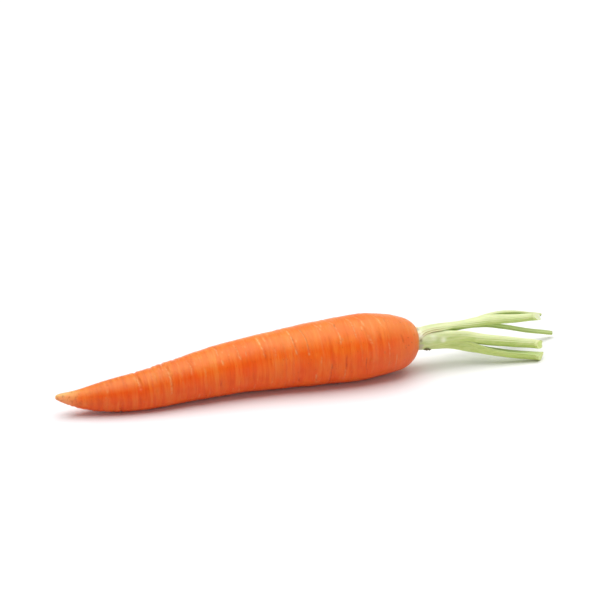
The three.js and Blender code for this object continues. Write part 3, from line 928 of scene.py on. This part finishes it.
def skin_material():
    k = Nodes("carrot_skin")
    b = k.bsdf
    wrinkle = k.noise(k.coords((1900, 210, 210)), 1.0, 3.0, 0.6, 0.25)  # runs round the root
    band = k.noise(k.coords((330, 52, 52), offset=(3, 1, 2)), 1.0, 3.0, 0.55, 0.5)
    patch = k.noise(k.coords((95, 70, 70), offset=(1, 4, 9)), 1.0, 3.0, 0.5, 0.3)
    grain = k.noise(k.coords((3400, 1500, 1500), offset=(7, 2, 5)), 1.0, 2.0, 0.6)
    where = k.noise(k.coords((130, 90, 90), offset=(5, 5, 2)), 1.0, 2.0, 0.5)

    # the orange itself, redder or yellower from place to place
    col = k.ramp(patch, [(0.32, (0.88, 0.078, 0.001)), (0.50, (0.94, 0.142, 0.003)), (0.68, (0.97, 0.215, 0.014))])
    bands = k.ramp(band, [(0.34, (0.84, 0.080, 0.002)), (0.50, (0.94, 0.148, 0.004)), (0.64, (0.97, 0.245, 0.033))])
    col = k.mix(0.5, col, bands)
    fine = k.ramp(wrinkle, [(0.30, (0.82, 0.082, 0.002)), (0.50, (0.94, 0.15, 0.005)), (0.70, (0.98, 0.27, 0.055))])
    amount = k.grey(where, [(0.35, 0.12), (0.65, 0.46)])
    col = k.mix(amount, col, fine)
    # thin pale threads across the root
    thread = k.grey(wrinkle, [(0.63, 0.0), (0.69, 1.0), (0.75, 0.2)])
    thread = k.math("MULTIPLY", thread, k.grey(where, [(0.42, 0.0), (0.60, 0.62)]))
    # painted shade: the low places of the wrinkles, where the bump sinks, are painted dark red
    furrow = k.math("MULTIPLY", k.grey(wrinkle, [(0.28, 1.0), (0.36, 0.0)]), k.grey(patch, [(0.35, 0.7), (0.60, 0.1)]))
    col = k.mix(furrow, col, (0.66, 0.040, 0.001))
    col = k.mix(thread, col, (1.0, 0.47, 0.16))
    # pores
    pore = k.grey(k.voronoi(k.coords((420, 260, 260), offset=(3, 3, 3)), 1.0), [(0.07, 1.0), (0.13, 0.0)])
    col = k.mix(k.math("MULTIPLY", pore, 0.5), col, (0.50, 0.065, 0.006))
    # pale scar tissue, brown cracks, and painted shade in the floors of the creases
    pale = k.attr("pale")
    brown = k.attr("brown")
    crease_shade = k.attr("crease_shade")
    speck = k.grey(grain, [(0.33, 0.5), (0.55, 1.0)])
    col = k.mix(k.math("MULTIPLY", crease_shade, 0.42), col, (0.58, 0.036, 0.001))
    col = k.mix(k.math("MULTIPLY", k.math("MULTIPLY", pale, speck), 1.0, True), col, (1.0, 0.66, 0.30))
    col = k.mix(k.math("MULTIPLY", k.math("MULTIPLY", brown, speck), 1.0, True), col, (0.27, 0.034, 0.003))
    # the thin end is yellower and dustier, the shoulder goes dull and greenish by the collar
    along = k.attr("along")
    tip = k.grey(along, [(0.0, 1.0), (0.035, 0.75), (0.09, 0.30), (0.2, 0.0)])
    col = k.mix(k.math("MULTIPLY", tip, 0.66), col, (0.97, 0.42, 0.10))
    point = k.grey(along, [(0.0, 1.0), (0.026, 0.85), (0.065, 0.0)])
    col = k.mix(k.math("MULTIPLY", point, 0.75), col, (1.0, 0.68, 0.30))
    dust = k.grey(k.noise(k.coords((700, 480, 480), offset=(2, 8, 1)), 1.0, 3.0, 0.6), [(0.54, 0.0), (0.66, 1.0)])
    col = k.mix(k.math("MULTIPLY", k.math("MULTIPLY", tip, dust), 0.65), col, (0.30, 0.10, 0.02))
    # growth rings show more on the thin half
    rings = k.ramp(k.noise(k.coords((400, 38, 38), offset=(4, 7, 1)), 1.0, 3.0, 0.6, 0.35), [(0.36, (0.62, 0.040, 0.001)), (0.50, (0.91, 0.115, 0.001)), (0.62, (0.98, 0.28, 0.045))])
    half = k.grey(along, [(0.03, 0.15), (0.15, 0.52), (0.42, 0.36), (0.60, 0.20)])
    col = k.mix(half, col, rings)
    flush = k.grey(k.noise(k.coords((62, 105, 105), offset=(9, 2, 7)), 1.0, 2.0, 0.5), [(0.50, 0.0), (0.64, 1.0)])
    col = k.mix(k.math("MULTIPLY", flush, 0.38), col, (0.90, 0.078, 0.001))
    shoulder = k.grey(along, [(0.82, 0.0), (0.97, 1.0)])
    col = k.mix(k.math("MULTIPLY", shoulder, 0.55), col, (0.90, 0.235, 0.055))
    redder = k.grey(k.noise(k.coords((75, 60, 60), offset=(6, 3, 4)), 1.0, 2.0, 0.5), [(0.50, 0.0), (0.66, 1.0)])
    col = k.mix(k.math("MULTIPLY", k.math("MULTIPLY", shoulder, redder), 0.35), col, (0.80, 0.11, 0.03))
    thin = k.grey(along, [(0.04, 0.0), (0.11, 1.0), (0.30, 0.9), (0.46, 0.0)])
    col = k.mix(k.math("MULTIPLY", thin, 0.26), col, (0.60, 0.045, 0.001))
    # painted shade: the underside of the root darker and redder, where it faces the floor
    painted_under_shade = k.grey(k.attr("turn"), [(0.0, 1.0), (0.25, 0.88), (0.40, 0.66), (0.52, 0.42), (0.68, 0.0)])
    col = k.mix(k.math("MULTIPLY", painted_under_shade, 0.6), col, (0.66, 0.060, 0.003))
    # small red-brown flecks on the shoulder
    fleck = k.grey(k.voronoi(k.coords((240, 420, 420), offset=(2, 9, 4)), 1.0), [(0.10, 1.0), (0.20, 0.0)])
    col = k.mix(k.math("MULTIPLY", k.math("MULTIPLY", fleck, shoulder), 0.5), col, (0.42, 0.050, 0.004))
    # painted shade: a deeper, more saturated orange band on the flank, between the top sheen and the underside
    painted_flank_band = k.grey(k.attr("turn"), [(0.46, 0.0), (0.58, 1.0), (0.78, 1.0), (0.90, 0.0)])
    col = k.mix(k.math("MULTIPLY", k.math("MULTIPLY", painted_flank_band, k.grey(patch, [(0.38, 1.0), (0.60, 0.35)])), 0.28), col, (0.98, 0.105, 0.001))
    # painted highlight: the top of the root paler and yellower, a sheen from the light above
    upper = k.grey(k.attr("turn"), [(0.74, 0.0), (0.92, 1.0)])
    col = k.mix(k.math("MULTIPLY", upper, 0.20), col, (1.0, 0.56, 0.14))
    collar = k.attr("collar")
    col = k.mix(k.math("MULTIPLY", collar, 0.75, True), col, (0.74, 0.36, 0.085))
    k.link(col, b.inputs["Base Color"])

    rough = k.grey(band, [(0.3, 0.40), (0.7, 0.30)])
    rough = k.mix(k.math("MAXIMUM", pale, brown), rough, (0.55, 0.55, 0.55))
    k.link(rough, b.inputs["Roughness"])
    b.inputs["Subsurface Weight"].default_value = 0.15
    b.inputs["Subsurface Radius"].default_value = (1.0, 0.22, 0.05)
    b.inputs["Subsurface Scale"].default_value = 0.0018
    b.inputs["IOR"].default_value = 1.40
    b.inputs["Specular IOR Level"].default_value = 0.32

    h = k.math("ADD", k.math("MULTIPLY", wrinkle, 0.75), k.math("MULTIPLY", grain, 0.3))
    nb = k.bump(h, 0.75, 0.00034)
    nb = k.bump(band, 0.35, 0.0006, nb)
    nb = k.bump(pore, -0.3, 0.0002, nb)
    k.link(nb, b.inputs["Normal"])
    return k.m


def stalk_material(name, bright, cap):
    k = Nodes(name)
    b = k.bsdf
    n_len = k.noise(k.coords((90, 900, 900)), 1.0, 3.0, 0.55)
    n_fine = k.noise(k.coords((420, 3400, 3400), offset=(4, 4, 1)), 1.0, 2.0, 0.6)
    n_blot = k.noise(k.coords((190, 260, 260), offset=(8, 1, 3)), 1.0, 4.0, 0.6)
    along = k.attr("along")
    rib = k.attr("rib")
    cut = k.attr("cutface")
    margin = k.attr("margin")
    backs = k.attr("back")
    knob = k.attr("knob")
    # bright lifts or lowers the whole stalk's green; for petiole_back it is painted shade
    g = 1.0 + bright

    def shade(r, gr, bl):
        return (min(r * g, 1.0), min(gr * g, 1.0), min(bl * g * (1 + bright * 0.6), 1.0))

    col = k.ramp(
        along,
        [
            (0.0, (0.72, 0.76, 0.47)), (0.08, shade(0.69, 0.76, 0.40)), (0.22, shade(0.65, 0.725, 0.28)),
            (0.5, shade(0.61, 0.71, 0.215)), (0.85, shade(0.585, 0.69, 0.19)), (0.97, shade(0.61, 0.70, 0.19)),
            (1.0, shade(0.72, 0.78, 0.26)),
        ],
    )
    dark = k.mix(1.0, col, (0.74, 0.84, 0.58), "MULTIPLY")
    light = k.mix(0.5, col, (0.90, 0.94, 0.62))
    col = k.mix(k.grey(n_len, [(0.35, 0.0), (0.60, 1.0)]), dark, col)
    col = k.mix(k.math("MULTIPLY", rib, 0.30), col, light)
    col = k.mix(k.math("MULTIPLY", k.grey(n_fine, [(0.55, 0.0), (0.75, 1.0)]), 0.25), col, light)
    col = k.mix(k.math("MULTIPLY", k.grey(n_blot, [(0.52, 0.0), (0.70, 1.0)]), 0.35), col, (0.74, 0.76, 0.38))
    # painted highlight: paler on the tops, where the light falls, more so away from the base; painted shade: darker
    # and greener beneath
    up = k.attr("up")
    painted_top_highlight = k.math("MULTIPLY", k.grey(up, [(0.60, 0.0), (0.80, 0.75), (0.96, 1.0)]), k.grey(along, [(0.0, 0.12), (0.16, 0.3), (0.26, 0.5)]))
    col = k.mix(painted_top_highlight, col, (0.96, 0.985, 0.66))
    # painted shade on the stalks' undersides
    col = k.mix(k.math("MULTIPLY", k.grey(up, [(0.10, 1.0), (0.42, 0.6), (0.60, 0.0)]), 0.42), col, shade(0.50, 0.62, 0.13))
    # painted shade: the hollow side is painted a darker, deeper green, where the channel lies in shade
    inner = k.grey(backs, [(0.0, 1.0), (0.28, 0.9), (0.5, 0.0)])
    col = k.mix(k.math("MULTIPLY", inner, 0.5), col, shade(0.33, 0.50, 0.09))
    # the membranous margin of the sheath is dry, tan and a little pink; knobs are pale cream
    col = k.mix(k.math("MULTIPLY", margin, 0.8, True), col, (0.60, 0.38, 0.21))
    col = k.mix(k.math("MULTIPLY", knob, 0.85, True), col, (0.94, 0.945, 0.70))
    col = k.mix(k.math("MULTIPLY", k.attr("old"), 0.75, True), col, (0.50, 0.45, 0.36))
    # painted shade in the crevice between the bases
    col = k.mix(k.math("MULTIPLY", k.attr("dark"), 0.8, True), col, (0.13, 0.115, 0.03))
    # the cut face: pale and wet, with the veins in it
    cutcol = k.mix(k.grey(rib, [(0.1, 0.0), (0.7, 1.0)]), cap[0], cap[1])
    cutcol = k.mix(k.math("MULTIPLY", k.grey(n_blot, [(0.4, 0.0), (0.7, 1.0)]), 0.3), cutcol, (0.56, 0.70, 0.20))
    col = k.mix(cut, col, cutcol)
    k.link(col, b.inputs["Base Color"])
    rough = k.grey(n_fine, [(0.3, 0.44), (0.7, 0.30)])
    k.link(rough, b.inputs["Roughness"])
    b.inputs["Subsurface Weight"].default_value = 0.12
    b.inputs["Subsurface Radius"].default_value = (0.45, 0.8, 0.12)
    b.inputs["Subsurface Scale"].default_value = 0.0012
    b.inputs["IOR"].default_value = 1.40
    h = k.math("ADD", k.math("MULTIPLY", n_len, 0.6), k.math("MULTIPLY", n_fine, 0.4))
    k.link(k.bump(h, 0.5, 0.0002), b.inputs["Normal"])
    return k.m


def flake_material():
    k = Nodes("dried_leaf")
    b = k.bsdf
    n1 = k.noise(k.coords((900, 1500, 1500)), 1.0, 4.0, 0.65)
    n2 = k.noise(k.coords((300, 700, 700), offset=(2, 6, 1)), 1.0, 3.0, 0.6)
    col = k.ramp(n1, [(0.3, (0.06, 0.065, 0.02)), (0.5, (0.17, 0.16, 0.055)), (0.7, (0.38, 0.36, 0.16))])
    col = k.mix(k.grey(n2, [(0.45, 0.0), (0.7, 0.7)]), col, (0.14, 0.17, 0.06))
    k.link(col, b.inputs["Base Color"])
    k.link(k.grey(n1, [(0.3, 0.9), (0.7, 0.7)]), b.inputs["Roughness"])
    k.link(k.bump(n1, 0.8, 0.0003), b.inputs["Normal"])
    return k.m


# ------------------------------------------------------------------------------------------
# assembly
# ------------------------------------------------------------------------------------------

skin = skin_material()
taproot = build_taproot()
taproot.data.materials.append(skin)
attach(taproot, "root")
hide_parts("taproot")

for name, spec in STALKS.items():
    ob = build_stalk(name, spec)
    ob.data.materials.append(stalk_material("green_" + name, spec["bright"], spec.get("cap", [(0.74, 0.86, 0.26), (0.88, 0.92, 0.50)])))
    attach(ob, "root")
    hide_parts(name)

flake = build_flake()
flake.data.materials.append(flake_material())
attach(flake, "root")
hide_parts("dried_leaf_base")

# ------------------------------------------------------------------------------------------
# the stage: a plain pale floor, soft light and the camera
# ------------------------------------------------------------------------------------------

me = bpy.data.meshes.new("floor")
S = 4.0
me.from_pydata([(-S, -S, 0), (S, -S, 0), (S, S, 0), (-S, S, 0)], [], [(0, 1, 2, 3)])
floor = bpy.data.objects.new("floor", me)
bpy.context.scene.collection.objects.link(floor)
fm = Nodes("floor_white")
fm.bsdf.inputs["Base Color"].default_value = (0.95, 0.945, 0.955, 1)
fm.bsdf.inputs["Roughness"].default_value = 0.6
fm.bsdf.inputs["Specular IOR Level"].default_value = 0.25
me.materials.append(fm.m)

# the surroundings: dim overhead, pale near the horizon like a studio's far wall
world = bpy.data.worlds.new("studio")
bpy.context.scene.world = world
world.use_nodes = True
wt = world.node_tree
sky = wt.nodes["Background"]
sky.inputs[0].default_value = (1.0, 0.99, 1.015, 1)
wc = wt.nodes.new("ShaderNodeTexCoord")
ws = wt.nodes.new("ShaderNodeSeparateXYZ")
wr = wt.nodes.new("ShaderNodeValToRGB")
wt.links.new(wc.outputs["Generated"], ws.inputs[0])
wt.links.new(ws.outputs["Z"], wr.inputs["Fac"])
wt.links.new(wr.outputs["Color"], sky.inputs[1])
HORIZON, DOME = 1.0, 0.24
for q, (place, level) in enumerate(((0.15, HORIZON), (0.26, DOME))):
    e = wr.color_ramp.elements[q]
    e.position = place
    e.color = (level, level, level, 1.0)


def area(name, at, aim, size, power, tint=(1, 1, 1)):
    li = bpy.data.lights.new(name, "AREA")
    li.shape = "RECTANGLE"
    li.size, li.size_y = size
    li.energy = power
    li.color = tint
    ob = bpy.data.objects.new(name, li)
    bpy.context.scene.collection.objects.link(ob)
    at, aim = np.array(at, float), np.array(aim, float)
    z = unit(at - aim)
    x = unit(np.cross([0.0, 1.0, 0.0] if abs(z[2]) > 0.9 else [0.0, 0.0, 1.0], z))
    y = np.cross(z, x)
    m = np.eye(4)
    m[:3, 0], m[:3, 1], m[:3, 2], m[:3, 3] = x, y, z, at
    from mathutils import Matrix

    ob.matrix_world = Matrix(m.tolist())
    return ob


# one soft box far above, wide enough to light the whole floor evenly
area("overhead", (-0.2526, 1.25, 12.0), (0.0, 0.0, 0.0), (18.95, 14.53), 2170.0)

AZ, EL, LENS_PX, AWAY = math.radians(-18.0), math.radians(22.0), 1591.84, 0.78
back = np.array([math.sin(AZ) * math.cos(EL), -math.cos(AZ) * math.cos(EL), math.sin(EL)])
right = np.array([math.cos(AZ), math.sin(AZ), 0.0])
upv = np.cross(back, right)
target = np.array([-2.0609 + OX, OY, 44.0665]) * MM
cam_at = target + back * AWAY
cam = bpy.data.cameras.new("camera")
cam.sensor_fit = "HORIZONTAL"
cam.sensor_width = 36.0
cam.lens = LENS_PX / 600.0 * 36.0
cam.clip_start = 0.02
cam.clip_end = 30.0
camera = bpy.data.objects.new("camera", cam)
bpy.context.scene.collection.objects.link(camera)
from mathutils import Matrix

mw = np.eye(4)
mw[:3, 0], mw[:3, 1], mw[:3, 2], mw[:3, 3] = right, upv, back, cam_at
camera.matrix_world = Matrix(mw.tolist())
bpy.context.scene.camera = camera

bpy.context.scene.view_settings.view_transform = "Standard"
bpy.context.scene.view_settings.look = "None"
